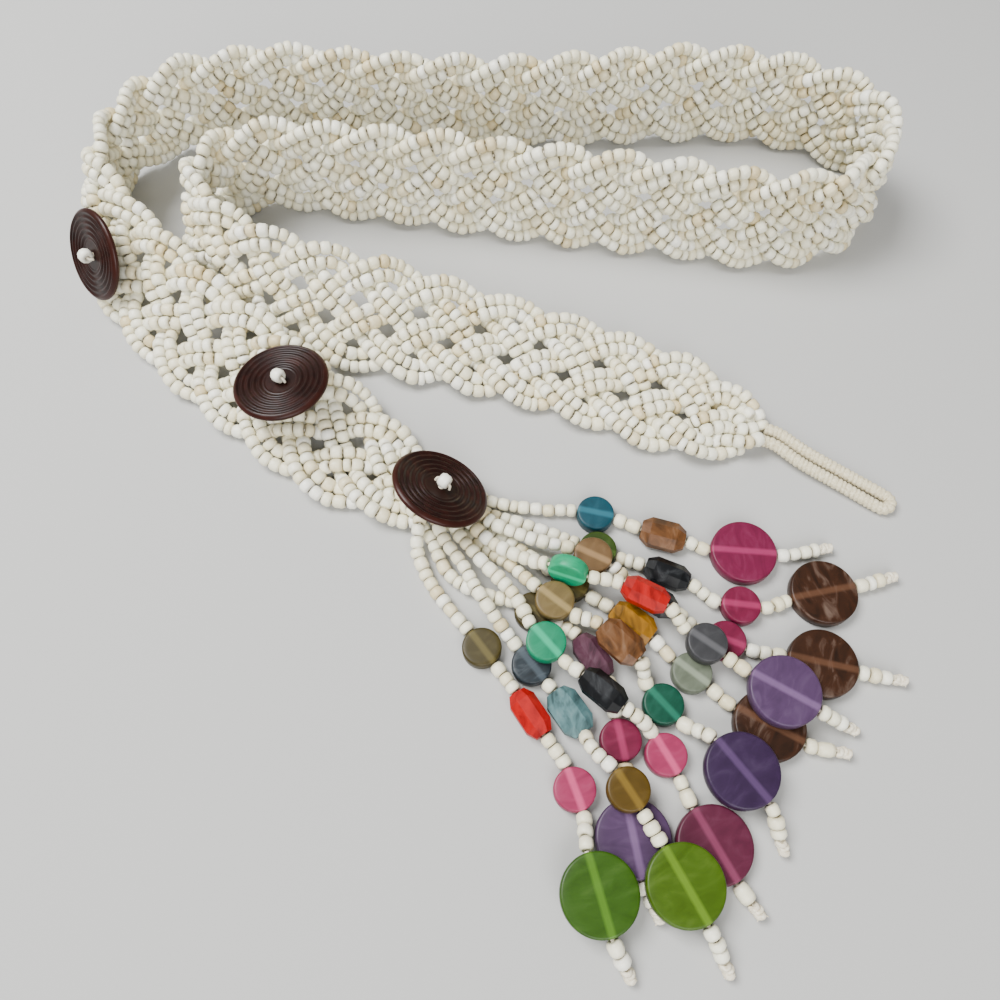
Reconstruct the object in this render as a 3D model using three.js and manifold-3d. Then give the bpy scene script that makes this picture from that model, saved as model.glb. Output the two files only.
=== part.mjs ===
import * as THREE from "three";
import Module from "manifold-3d";
import { mergeVertices } from "three/addons/utils/BufferGeometryUtils.js";

const wasm = await Module();
wasm.setup();

// A belt plaited from strings of seed beads, with three shell buttons, a wound closing loop and a
// fringe of coloured beads. Lengths are millimetres. It lies on a surface at height 0.

// Seed beads, their thread, and the space left between pieces that touch.
const seed_width = 4.0;
const thread_width = 1.2;
const clearance = 0.3;
const string_sides = 8;

// The plaited band, two strings thick, with a scallop where each pair of strings turns back.
const band_width = 40;
const band_thickness = 2 * seed_width + clearance;
const band_corner = 2.5;
const scallop_pitch = 20;
const scallop_depth = 3.5;
const stations_per_scallop = 4;

// Shell buttons, and the seed bead that holds each of them.
const button_width = 29;
const button_thickness = 2.6;
const button_rim = 0.8;
const ridge_height = 0.5;
const ridge_count = 4;
const ridged_share = 0.6;
const button_hole = 1.8;
const button_sides = 20;
const pin_bead_width = 4.6;
const pin_bead_height = 3.6;

// Coloured beads of the fringe: length runs along the thread, height across the thickness.
const bore_width = 1.8;
const bore_sides = 6;
const disc_sides = 12;
const bead_sizes = {
  small_disc: { length: 11, width: 11, height: 4.0 },
  large_disc: { length: 19, width: 19, height: 4.0 },
  slim_tube: { length: 13, width: 7.5, height: 6.0 },
  wide_tube: { length: 13, width: 9.0, height: 5.4 },
};
const tube_sides = 8;
const facet_length = 2.6;
const facet_share = 0.62;

// Knot at the end of each string.
const knot_width = 2.8;
const knot_length = 2.0;
const neck_length = 0.8;

// Closing loop: a cord bent double, wound with thread.
const loop_cord_width = 3.8;
const loop_leg_spacing = 4.6;
const loop_stub = 4;

// A string that passes over another lies one layer higher.
const layer_step = seed_width + clearance;

// Route of the band's middle from the fringed end to the loop, in mm on the surface. Roll is in
// degrees: 0 lies flat, 90 stands on edge and 180 lies flat with the other face up.
const band_route = [
  { x: -20, y: -1, roll: 0 },
  { x: -33, y: 6, roll: 0 },
  { x: -46, y: 14, roll: 0 },
  { x: -69, y: 31, roll: 17 },
  { x: -94, y: 51, roll: 25 },
  { x: -115, y: 71, roll: 35 },
  { x: -132, y: 91, roll: 46 },
  { x: -141, y: 108, roll: 63 },
  { x: -138, y: 126, roll: 74 },
  { x: -129, y: 144, roll: 78 },
  { x: -111, y: 155, roll: 86 },
  { x: -86, y: 161, roll: 90 },
  { x: -55, y: 160, roll: 86 },
  { x: -23, y: 157, roll: 82 },
  { x: 11, y: 156, roll: 85 },
  { x: 44, y: 158, roll: 91 },
  { x: 74, y: 160, roll: 90 },
  { x: 100, y: 157, roll: 85 },
  { x: 120, y: 149, roll: 84 },
  { x: 132, y: 137, roll: 84 },
  { x: 133, y: 122, roll: 84 },
  { x: 126, y: 108, roll: 85 },
  { x: 110, y: 97, roll: 86 },
  { x: 89, y: 95, roll: 86 },
  { x: 62, y: 100, roll: 86 },
  { x: 32, y: 105, roll: 84 },
  { x: 1, y: 110, roll: 84 },
  { x: -29, y: 115, roll: 85 },
  { x: -58, y: 119, roll: 89 },
  { x: -82, y: 122, roll: 94 },
  { x: -97, y: 116, roll: 99 },
  { x: -104, y: 105, roll: 103 },
  { x: -102, y: 92, roll: 110 },
  { x: -91, y: 79, roll: 120 },
  { x: -72, y: 69, roll: 131 },
  { x: -49, y: 63, roll: 145 },
  { x: -25, y: 59, roll: 161 },
  { x: -1, y: 54, roll: 174 },
  { x: 20, y: 47, roll: 175 },
  { x: 40, y: 39, roll: 177 },
  { x: 61, y: 30, roll: 180 },
  { x: 82, y: 21, roll: 180 },
];

// Far end of the closing loop.
const loop_tip = { x: 119, y: -4 };

// How the plait narrows towards its ends: distance from the end and width, as shares of the width.
const fringe_end_taper = [
  { distance: 0, width: 0.62 },
  { distance: 0.3, width: 0.76 },
  { distance: 0.6, width: 0.92 },
  { distance: 0.9, width: 1 },
];
const loop_end_taper = [
  { distance: 0, width: 0.24 },
  { distance: 0.12, width: 0.52 },
  { distance: 0.3, width: 0.76 },
  { distance: 0.5, width: 0.92 },
  { distance: 0.75, width: 1 },
];

// Buttons along the band: distance from the fringed end, offset towards the far edge, how high the
// button hangs on its thread, and its own tilt in degrees along and across the band.
const button_places = [
  { along: 137, aside: -1, hang: 4.4, tilt_along: -3, tilt_across: -17 },
  { along: 55, aside: 3.5, hang: 5.3, tilt_along: 6, tilt_across: 16 },
  { along: -4, aside: -2, hang: 6.4, tilt_along: -13, tilt_across: 28 },
];

const colours = {
  ivory: 0xe9e4d6,
  thread: 0xe1dac3,
  shell: 0x3c1e16,
  blue: 0x286e87,
  moss: 0x557323,
  peach: 0xa58264,
  jade: 0x14be78,
  tan: 0xa0875f,
  emerald: 0x0fa56e,
  olive: 0x695f2d,
  slate: 0x37414b,
  amber: 0x965f37,
  night: 0x28303a,
  red: 0xe13228,
  mustard: 0xa57d14,
  mauve: 0x69465a,
  teal: 0x5f878c,
  smoke: 0x6e6e70,
  pearl: 0x969b8c,
  pine: 0x147855,
  rose: 0xd74b78,
  plum: 0xa52d5a,
  bronze: 0x785f19,
  pink: 0xa0325a,
  brown: 0x4b2d19,
  violet: 0x6e5596,
  indigo: 0x4b3c6e,
  wine: 0x782d4b,
  lime: 0x6e9b1e,
  green: 0x4b8228,
};

// Routes of the fringe's strings from the band's end to the knot. Layer counts how many strings
// deep the point lies. A point with a bead is that bead's middle, and lean turns it on its thread.
const fringe_routes = [
  [
    { x: -4, y: -1, layer: 0 },
    { x: 10, y: -4, layer: 0 },
    { x: 28.5, y: -6, layer: 0, bead: "small_disc", colour: "blue" },
    { x: 48, y: -13, layer: 0, bead: "wide_tube", colour: "amber" },
    { x: 71, y: -18.5, layer: 0, bead: "large_disc", colour: "pink" },
    { x: 96, y: -17, layer: 0 },
  ],
  [
    { x: -4, y: -5.5, layer: 0 },
    { x: 12, y: -11, layer: 0 },
    { x: 28.5, y: -17.7, layer: 0, bead: "small_disc", colour: "moss" },
    { x: 48, y: -25.4, layer: 0, bead: "slim_tube", colour: "night" },
    { x: 68, y: -34.8, layer: 0, bead: "small_disc", colour: "plum" },
    { x: 92, y: -31, layer: 0, bead: "large_disc", colour: "brown" },
    { x: 113, y: -26, layer: 0 },
  ],
  [
    { x: -7, y: -4.5, layer: 1 },
    { x: -4, y: -9.5, layer: 1 },
    { x: 10, y: -16, layer: 1 },
    { x: 26.5, y: -21.5, layer: 1, bead: "small_disc", colour: "peach" },
    { x: 43.5, y: -33, layer: 0, bead: "slim_tube", colour: "smoke" },
    { x: 62.5, y: -45, layer: 0, bead: "small_disc", colour: "plum" },
    { x: 88, y: -51.5, layer: 0, bead: "large_disc", colour: "brown" },
    { x: 109, y: -56, layer: 0 },
  ],
  [
    { x: -11, y: -6, layer: 1 },
    { x: -8.5, y: -11, layer: 1 },
    { x: -1, y: -18, layer: 1 },
    { x: 8, y: -23, layer: 1.4 },
    { x: 19, y: -27, layer: 1, bead: "small_disc", colour: "jade", lean: 84 },
    { x: 40, y: -34, layer: 1.5, bead: "slim_tube", colour: "red" },
    { x: 56, y: -47, layer: 1, bead: "small_disc", colour: "smoke" },
    { x: 75, y: -60, layer: 1, bead: "large_disc", colour: "violet" },
    { x: 93, y: -69, layer: 0 },
  ],
  [
    { x: -12, y: -11.5, layer: 0 },
    { x: 1, y: -21, layer: 0.2 },
    { x: 15.2, y: -34.8, layer: 1, bead: "small_disc", colour: "tan" },
    { x: 32.6, y: -46.8, layer: 1.1, bead: "wide_tube", colour: "amber" },
    { x: 43.5, y: -62.5, layer: 0, bead: "small_disc", colour: "pine" },
    { x: 61, y: -80, layer: 1, bead: "large_disc", colour: "indigo" },
    { x: 70, y: -98, layer: 0 },
  ],
  [
    { x: -9, y: -8, layer: 0 },
    { x: 5, y: -17, layer: 0 },
    { x: 20, y: -28, layer: 0, bead: "small_disc", colour: "olive" },
    { x: 37, y: -40, layer: 0, bead: "wide_tube", colour: "mustard" },
    { x: 52, y: -54, layer: 0, bead: "small_disc", colour: "pearl" },
    { x: 71, y: -68, layer: 0, bead: "large_disc", colour: "brown" },
    { x: 90, y: -75, layer: 0 },
  ],
  [
    { x: -15.1, y: -7.2, layer: 1 },
    { x: -12.5, y: -13.5, layer: 1 },
    { x: -5, y: -23, layer: 1 },
    { x: 4, y: -33, layer: 1 },
    { x: 12.5, y: -46.6, layer: 1, bead: "small_disc", colour: "emerald" },
    { x: 27, y: -60, layer: 1.15, bead: "slim_tube", colour: "night" },
    { x: 36.8, y: -67.3, layer: 1.05 },
    { x: 43, y: -75.5, layer: 0, bead: "small_disc", colour: "rose" },
    { x: 53, y: -97, layer: 0, bead: "large_disc", colour: "wine" },
    { x: 62, y: -112, layer: 0 },
  ],
  [
    { x: -20, y: -14.5, layer: 0 },
    { x: -15, y: -25, layer: 0 },
    { x: -4, y: -31.5, layer: 0 },
    { x: 9.5, y: -36.5, layer: 0, bead: "small_disc", colour: "olive" },
    { x: 25.4, y: -49.7, layer: 0, bead: "slim_tube", colour: "mauve" },
    { x: 31.5, y: -71.8, layer: 0, bead: "small_disc", colour: "plum" },
    { x: 33, y: -95.5, layer: 0, bead: "large_disc", colour: "violet" },
    { x: 38, y: -113, layer: 0 },
  ],
  [
    { x: -19.3, y: -8.6, layer: 1 },
    { x: -17, y: -14.5, layer: 1 },
    { x: -10, y: -25, layer: 1 },
    { x: -5, y: -34, layer: 1 },
    { x: 1, y: -42, layer: 0.4 },
    { x: 8.6, y: -51.8, layer: 0, bead: "small_disc", colour: "slate" },
    { x: 18.5, y: -64.5, layer: 0, bead: "wide_tube", colour: "teal" },
    { x: 22.5, y: -72.5, layer: 0.7 },
    { x: 26, y: -77, layer: 1 },
    { x: 32, y: -84.5, layer: 1, bead: "small_disc", colour: "bronze" },
    { x: 44, y: -106, layer: 1, bead: "large_disc", colour: "lime" },
    { x: 53, y: -124, layer: 0 },
  ],
  [
    { x: -23.5, y: -10.5, layer: 1 },
    { x: -24.5, y: -17, layer: 0.4 },
    { x: -20.5, y: -27, layer: 0 },
    { x: -14, y: -36, layer: 0 },
    { x: -5, y: -47, layer: 0, bead: "small_disc", colour: "olive" },
    { x: 8, y: -65, layer: 0, bead: "slim_tube", colour: "red" },
    { x: 19, y: -84, layer: 0, bead: "small_disc", colour: "rose" },
    { x: 23.5, y: -108, layer: 1, bead: "large_disc", colour: "green" },
    { x: 30, y: -125, layer: 0 },
  ],
];

// Where each string leaves the band's end: its layer, and its place counted across from the middle.
const string_roots = [
  { layer: 0, place: 2 },
  { layer: 0, place: 1 },
  { layer: 1, place: 2 },
  { layer: 1, place: 1 },
  { layer: 0, place: -1 },
  { layer: 0, place: 0 },
  { layer: 1, place: 0 },
  { layer: 0, place: -2 },
  { layer: 1, place: -1 },
  { layer: 1, place: -2 },
];

const up = new THREE.Vector3(0, 0, 1);
const belt = new THREE.Group();

function finish(colour, roughness) {
  return new THREE.MeshStandardMaterial({ color: colours[colour], roughness, metalness: 0 });
}

function add_piece(name, geometry, colour, roughness) {
  const mesh = new THREE.Mesh(geometry, finish(colour, roughness));
  mesh.name = name;
  belt.add(mesh);
}

// A closed body through rings that all have as many points. Rings follow each other forwards and
// each runs clockwise seen from the first ring. The ends are capped, or the last ring meets the first.
function ring_body(rings, closed) {
  const count = rings[0].length;
  const positions = rings.flat().flatMap((p) => [p.x, p.y, p.z]);
  const index = [];
  const last = closed ? rings.length : rings.length - 1;
  for (let i = 0; i < last; i += 1) {
    const near = i * count;
    const far = ((i + 1) % rings.length) * count;
    for (let j = 0; j < count; j += 1) {
      const k = (j + 1) % count;
      index.push(near + j, far + k, near + k, near + j, far + j, far + k);
    }
  }
  if (!closed) {
    const end = (rings.length - 1) * count;
    for (let j = 1; j < count - 1; j += 1) {
      index.push(0, j, j + 1);
      index.push(end, end + j + 1, end + j);
    }
  }
  const geometry = new THREE.BufferGeometry();
  geometry.setAttribute("position", new THREE.Float32BufferAttribute(positions, 3));
  geometry.setIndex(index);
  return geometry;
}

function lerp_table(table, distance) {
  if (distance >= table[table.length - 1].distance) {
    return table[table.length - 1].width;
  }
  const i = Math.max(1, table.findIndex((row) => row.distance > distance));
  const share = (distance - table[i - 1].distance) / (table[i].distance - table[i - 1].distance);
  return THREE.MathUtils.lerp(table[i - 1].width, table[i].width, share);
}

const band_line = new THREE.CatmullRomCurve3(
  band_route.map((row) => new THREE.Vector3(row.x, row.y, 0)),
  false,
  "centripetal",
);
band_line.arcLengthDivisions = 4000;
const band_length = band_line.getLength();

// Height of the band's middle when the lower of its two corners touches the surface.
function resting_height(on_edge, flat) {
  const wide = band_width / 2;
  const half = band_thickness / 2;
  const by_edge = wide * on_edge + (half - band_corner) * flat;
  const by_face = (wide - band_corner) * on_edge + half * flat;
  return Math.max(by_edge, by_face);
}

// Middle, directions and height of the band at a distance from its fringed end. It rests on the
// surface at every roll, so its middle rises as it is turned up on edge.
function band_frame(distance) {
  const share = THREE.MathUtils.clamp(distance / band_length, 0, 1);
  const t = band_line.getUtoTmapping(share);
  const centre = band_line.getPoint(t);
  const along = band_line.getTangent(t);
  const step = Math.min(Math.floor(t * (band_route.length - 1)), band_route.length - 2);
  const part = t * (band_route.length - 1) - step;
  const roll = THREE.MathUtils.degToRad(
    THREE.MathUtils.lerp(band_route[step].roll, band_route[step + 1].roll, part),
  );
  const level = new THREE.Vector3().crossVectors(along, up);
  const aside = level.multiplyScalar(Math.cos(roll)).addScaledVector(up, Math.sin(roll));
  const face = new THREE.Vector3().crossVectors(aside, along);
  centre.z = resting_height(Math.abs(Math.sin(roll)), Math.abs(Math.cos(roll)));
  return { centre, along, aside, face };
}

// Distance from the band's middle to one edge: scallops one pitch long, those of the two edges half
// a pitch apart, narrowed by the tables at both ends.
function edge_distance(distance, side) {
  const pitches = distance / scallop_pitch + (side < 0 ? 0.5 : 0);
  const scallop = scallop_depth * (1 - Math.abs(Math.cos(Math.PI * pitches)));
  const narrow = Math.min(
    lerp_table(fringe_end_taper, distance / band_width),
    lerp_table(loop_end_taper, (band_length - distance) / band_width),
  );
  return (band_width / 2 - scallop) * narrow;
}

function band_section(distance) {
  const { centre, aside, face } = band_frame(distance);
  const near = -edge_distance(distance, -1);
  const far = edge_distance(distance, 1);
  const half = band_thickness / 2;
  const flat = half - band_corner;
  const outline = [
    [far, -flat],
    [far, flat],
    [far - band_corner, half],
    [near + band_corner, half],
    [near, flat],
    [near, -flat],
    [near + band_corner, -half],
    [far - band_corner, -half],
  ];
  return outline.map(([across, high]) =>
    centre.clone().addScaledVector(aside, across).addScaledVector(face, high),
  );
}

function make_band() {
  const steps = Math.round(band_length / scallop_pitch) * stations_per_scallop;
  const rings = [];
  for (let i = 0; i <= steps; i += 1) {
    rings.push(band_section((band_length * i) / steps));
  }
  add_piece("band", ring_body(rings, false), "ivory", 0.6);
}

// A ring square to a direction, with a flat side down.
function round_ring(centre, direction, radius, sides) {
  const across = new THREE.Vector3().crossVectors(direction, up).normalize();
  const rise = new THREE.Vector3().crossVectors(across, direction).normalize();
  const ring = [];
  for (let j = 0; j < sides; j += 1) {
    const angle = (2 * Math.PI * (j + 0.5)) / sides;
    ring.push(
      centre
        .clone()
        .addScaledVector(across, radius * Math.cos(angle))
        .addScaledVector(rise, radius * Math.sin(angle)),
    );
  }
  return ring;
}

// Height of the thread at a point of a string: half of what lies there, above the layers below.
function thread_height(row) {
  const size = row.bead ? bead_sizes[row.bead] : { width: seed_width, height: seed_width };
  const lean = THREE.MathUtils.degToRad(row.lean ?? 0);
  const half = (size.height * Math.abs(Math.cos(lean)) + size.width * Math.abs(Math.sin(lean))) / 2;
  return half + row.layer * layer_step;
}

function root_point(root) {
  const { centre, along, aside } = band_frame(0);
  return centre
    .clone()
    .addScaledVector(along, -clearance)
    .addScaledVector(aside, root.place * layer_step)
    .setZ(seed_width / 2 + root.layer * layer_step);
}

// Points of a stretch of seed beads between two beads, leaving and arriving along their threads.
function seed_stretch(start, leaving, end, arriving, through) {
  const span = start.distanceTo(end);
  if (through.length > 0) {
    const curve = new THREE.CatmullRomCurve3([start, ...through, end], false, "centripetal");
    const steps = Math.ceil(curve.getLength() / (2 * seed_width));
    return curve.getSpacedPoints(steps);
  }
  const first = start.clone().addScaledVector(leaving, span / 3);
  const second = end.clone().addScaledVector(arriving, -span / 3);
  const curve = new THREE.CubicBezierCurve3(start, first, second, end);
  return curve.getPoints(2);
}

function directions_along(points, leaving, arriving) {
  return points.map((point, i) => {
    if (i === 0) {
      return leaving;
    }
    if (i === points.length - 1) {
      return arriving;
    }
    return points[i + 1].clone().sub(points[i - 1]).normalize();
  });
}

// The places of the beads of one string, each with the direction of its thread, which is level
// inside a bead.
function bead_places(route, start) {
  const points = route.map((row) => new THREE.Vector3(row.x, row.y, thread_height(row)));
  const all = [start, ...points];
  return route.map((row, i) => {
    const ahead = all[Math.min(i + 2, all.length - 1)];
    const direction = ahead.clone().sub(all[i]).setZ(0).normalize();
    return { row, point: points[i], direction };
  });
}

// One string: a tube as thick as its seed beads, with only the thread inside each coloured bead.
function make_string(route, root, number) {
  const start = root_point(root);
  const outward = band_frame(0).along.clone().negate();
  const places = bead_places(route, start);
  const seed_radius = seed_width / 2;
  const thread_radius = thread_width / 2;
  const rings = [];
  let from = start;
  let leaving = outward;
  let through = [];
  const lay_seeds = (end, arriving) => {
    const points = seed_stretch(from, leaving, end, arriving, through);
    const directions = directions_along(points, leaving, arriving);
    points.forEach((point, i) => {
      rings.push(round_ring(point, directions[i], seed_radius, string_sides));
    });
    rings.push(round_ring(end, arriving, thread_radius, string_sides));
  };
  for (const { row, point, direction } of places.slice(0, -1)) {
    if (!row.bead) {
      through.push(point);
      continue;
    }
    const reach = bead_sizes[row.bead].length / 2 + clearance;
    lay_seeds(point.clone().addScaledVector(direction, -reach), direction);
    from = point.clone().addScaledVector(direction, reach);
    leaving = direction;
    through = [];
    rings.push(round_ring(from, direction, thread_radius, string_sides));
  }
  const knot = places[places.length - 1].point;
  const last = knot.clone().sub(from).normalize();
  const seeds_end = knot.clone().addScaledVector(last, -neck_length - knot_length);
  lay_seeds(seeds_end, last);
  const knot_start = seeds_end.clone().addScaledVector(last, neck_length);
  rings.push(round_ring(knot_start, last, thread_radius, string_sides));
  rings.push(round_ring(knot_start, last, knot_width / 2, string_sides));
  rings.push(round_ring(knot, last, knot_width / 2, string_sides));
  add_piece(`string_${number}`, ring_body(rings, false), "ivory", 0.6);
}

function to_solid(geometry) {
  const plain = geometry.clone();
  plain.deleteAttribute("normal");
  plain.deleteAttribute("uv");
  const merged = mergeVertices(plain, 1e-4);
  const mesh = new wasm.Mesh({
    numProp: 3,
    vertProperties: new Float32Array(merged.attributes.position.array),
    triVerts: new Uint32Array(merged.index.array),
  });
  return new wasm.Manifold(mesh);
}

function to_geometry(solid) {
  const mesh = solid.getMesh();
  const geometry = new THREE.BufferGeometry();
  geometry.setAttribute("position", new THREE.Float32BufferAttribute(mesh.vertProperties, 3));
  geometry.setIndex(Array.from(mesh.triVerts));
  return geometry;
}

// A flat round disc drilled from rim to rim along x, with a flat of its rim square to the drilling.
function disc_bead(size) {
  const corner = size.width / 2 / Math.cos(Math.PI / disc_sides);
  const disc = new THREE.CylinderGeometry(corner, corner, size.height, disc_sides);
  disc.rotateY(Math.PI / disc_sides);
  disc.rotateX(Math.PI / 2);
  const bore = new THREE.CylinderGeometry(bore_width / 2, bore_width / 2, 2 * size.length, bore_sides);
  bore.rotateZ(Math.PI / 2);
  return to_geometry(to_solid(disc).subtract(to_solid(bore)));
}

// A tube cut with eight long facets and eight short ones at each end, drilled along x.
function tube_bead(size) {
  const section = (x, width, height) => {
    const ring = [];
    for (let j = 0; j < tube_sides; j += 1) {
      const angle = (2 * Math.PI * (j + 0.5)) / tube_sides;
      const y = -(width / 2) * Math.cos(angle);
      ring.push(new THREE.Vector3(x, y, (height / 2) * Math.sin(angle)));
    }
    return ring;
  };
  const end = size.length / 2;
  const shoulder = end - facet_length;
  const width = size.width / Math.cos(Math.PI / tube_sides);
  const height = size.height / Math.cos(Math.PI / tube_sides);
  return ring_body(
    [
      section(-end, bore_width, bore_width),
      section(-end, width * facet_share, height * facet_share),
      section(-shoulder, width, height),
      section(shoulder, width, height),
      section(end, width * facet_share, height * facet_share),
      section(end, bore_width, bore_width),
    ],
    true,
  );
}

const bead_shapes = {
  small_disc: disc_bead,
  large_disc: disc_bead,
  slim_tube: tube_bead,
  wide_tube: tube_bead,
};

function make_coloured_beads(route, root, number) {
  const places = bead_places(route, root_point(root)).filter(({ row }) => row.bead);
  places.forEach(({ row, point, direction }, i) => {
    const across = new THREE.Vector3().crossVectors(up, direction).normalize();
    const rise = new THREE.Vector3().crossVectors(direction, across);
    const placed = new THREE.Matrix4().makeBasis(direction, across, rise).setPosition(point);
    const lean = new THREE.Matrix4().makeRotationX(THREE.MathUtils.degToRad(row.lean ?? 0));
    const geometry = bead_shapes[row.bead](bead_sizes[row.bead]);
    geometry.applyMatrix4(placed.multiply(lean));
    add_piece(`${row.bead}_${number}_${i + 1}`, geometry, row.colour, 0.25);
  });
}

// Button turned from shell: a ring-shaped profile with ridges over its outer part.
function button_geometry() {
  const rim = button_width / 2;
  const hole = button_hole / 2;
  const low = button_thickness - ridge_height;
  const ridge_start = rim * (1 - ridged_share);
  const ridge = (rim - button_rim - ridge_start) / ridge_count;
  const profile = [new THREE.Vector2(hole, 0), new THREE.Vector2(rim - button_rim, 0)];
  profile.push(new THREE.Vector2(rim, button_rim), new THREE.Vector2(rim, low));
  for (let i = 0; i < ridge_count; i += 1) {
    const outer = rim - button_rim - i * ridge;
    profile.push(new THREE.Vector2(outer, button_thickness), new THREE.Vector2(outer - ridge / 2, low));
  }
  profile.push(new THREE.Vector2(hole, low), new THREE.Vector2(hole, 0));
  return mergeVertices(strip(new THREE.LatheGeometry(profile, button_sides)), 1e-4);
}

function strip(geometry) {
  geometry.deleteAttribute("normal");
  geometry.deleteAttribute("uv");
  geometry.rotateX(Math.PI / 2);
  return geometry;
}

// Seed bead on the button's face with the thread that passes through the button to the band.
function pin_geometry(hang) {
  const stem = thread_width / 2;
  const low = button_thickness - ridge_height + clearance;
  const edge = pin_bead_width / 2;
  const profile = [
    [0, -hang],
    [stem, -hang],
    [stem, low],
    [edge * 0.8, low],
    [edge, low + pin_bead_height * 0.25],
    [edge, low + pin_bead_height * 0.75],
    [edge * 0.7, low + pin_bead_height],
    [0, low + pin_bead_height],
  ].map(([x, y]) => new THREE.Vector2(x, y));
  return mergeVertices(strip(new THREE.LatheGeometry(profile, 10)), 1e-4);
}

function make_button(place, number) {
  const { centre, along, aside, face } = band_frame(place.along);
  const before = Math.min(place.along, 0);
  const seat = band_thickness / 2 + clearance + place.hang;
  const origin = centre
    .clone()
    .addScaledVector(along, before)
    .addScaledVector(aside, place.aside)
    .addScaledVector(face, seat);
  const tilt = new THREE.Matrix4()
    .makeRotationX(THREE.MathUtils.degToRad(place.tilt_across))
    .multiply(new THREE.Matrix4().makeRotationY(THREE.MathUtils.degToRad(place.tilt_along)));
  const across = aside.clone().negate();
  const placed = new THREE.Matrix4().makeBasis(along, across, face).setPosition(origin).multiply(tilt);
  const button = button_geometry();
  button.applyMatrix4(placed);
  add_piece(`button_${number}`, button, "shell", 0.35);
  const pin = pin_geometry(place.hang);
  pin.applyMatrix4(placed);
  add_piece(`button_bead_${number}`, pin, "ivory", 0.5);
}

// The cord leaves the band's end as two legs side by side, comes down to the surface and turns
// round at the tip.
function make_wound_loop() {
  const { centre, along, aside } = band_frame(band_length);
  const radius = loop_cord_width / 2;
  const half = loop_leg_spacing / 2;
  const tip = new THREE.Vector3(loop_tip.x, loop_tip.y, radius);
  const leg = (side) => {
    const start = centre.clone().addScaledVector(along, clearance).addScaledVector(aside, side * half);
    return [start, start.clone().addScaledVector(along, loop_stub)];
  };
  const way = tip.clone().sub(centre).setZ(0).normalize();
  const square = new THREE.Vector3(way.y, -way.x, 0);
  const turn = tip.clone().addScaledVector(way, -half - radius);
  const reach = turn.distanceTo(centre);
  const mid = (side, share) => {
    const point = turn.clone().addScaledVector(way, -reach * (1 - share));
    return point.addScaledVector(square, side * half).setZ(THREE.MathUtils.lerp(centre.z, radius, share));
  };
  const side = Math.sign(square.dot(aside)) || 1;
  const bend = [-60, -20, 20, 60].map((angle) => {
    const turned = THREE.MathUtils.degToRad(angle);
    return turn
      .clone()
      .addScaledVector(way, half * Math.cos(turned))
      .addScaledVector(square, half * Math.sin(turned));
  });
  const points = [...leg(-side), mid(-1, 0.35), mid(-1, 0.7), mid(-1, 1)];
  points.push(...bend, mid(1, 1), mid(1, 0.7), mid(1, 0.35), ...leg(side).reverse());
  const curve = new THREE.CatmullRomCurve3(points, false, "centripetal");
  const steps = 2 * points.length;
  const rings = [];
  for (let i = 0; i <= steps; i += 1) {
    const direction = curve.getTangent(i / steps);
    rings.push(round_ring(curve.getPoint(i / steps), direction, radius, string_sides));
  }
  add_piece("wound_loop", ring_body(rings, false), "thread", 0.8);
}

make_band();
make_wound_loop();
button_places.forEach((place, i) => make_button(place, i + 1));
fringe_routes.forEach((route, i) => {
  const number = String(i + 1).padStart(2, "0");
  make_string(route, string_roots[i], number);
  make_coloured_beads(route, string_roots[i], number);
});

// The origin is under the middle of the belt, on the surface.
const extent = new THREE.Box3().setFromObject(belt);
const middle = extent.getCenter(new THREE.Vector3());
belt.position.set(-middle.x, -middle.y, -extent.min.z);

export default belt;
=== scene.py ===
import bpy
import numpy as np
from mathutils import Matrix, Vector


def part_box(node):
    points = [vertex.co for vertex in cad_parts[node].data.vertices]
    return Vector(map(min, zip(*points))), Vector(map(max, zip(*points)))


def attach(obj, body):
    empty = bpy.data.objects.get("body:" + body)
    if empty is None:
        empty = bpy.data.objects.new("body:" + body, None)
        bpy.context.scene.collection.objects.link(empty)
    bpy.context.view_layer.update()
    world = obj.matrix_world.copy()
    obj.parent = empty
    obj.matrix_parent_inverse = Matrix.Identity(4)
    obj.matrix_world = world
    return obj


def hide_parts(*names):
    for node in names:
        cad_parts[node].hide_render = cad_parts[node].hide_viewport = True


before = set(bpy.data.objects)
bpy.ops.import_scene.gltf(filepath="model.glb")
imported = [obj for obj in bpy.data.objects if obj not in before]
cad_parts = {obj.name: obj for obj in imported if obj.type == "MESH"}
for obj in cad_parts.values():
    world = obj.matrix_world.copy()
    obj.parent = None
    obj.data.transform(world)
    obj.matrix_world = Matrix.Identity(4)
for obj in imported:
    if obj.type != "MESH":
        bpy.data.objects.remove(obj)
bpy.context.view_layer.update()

# The belt: ten strings of ivory seed beads plaited in five pairs, over one and under one. It lies
# in a long S, flat at both ends and on edge in between. Each pair turns back at the edges of the
# plait, which makes the scallops. Lengths are millimetres, and a mesh takes them in metres.
seed_width, seed_length, gap = 4.0, 3.35, 0.3
layer = seed_width + gap
band_width, band_thickness, band_corner = 40.0, 2 * seed_width + gap, 2.5
scallop_pitch = 20.0
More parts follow.
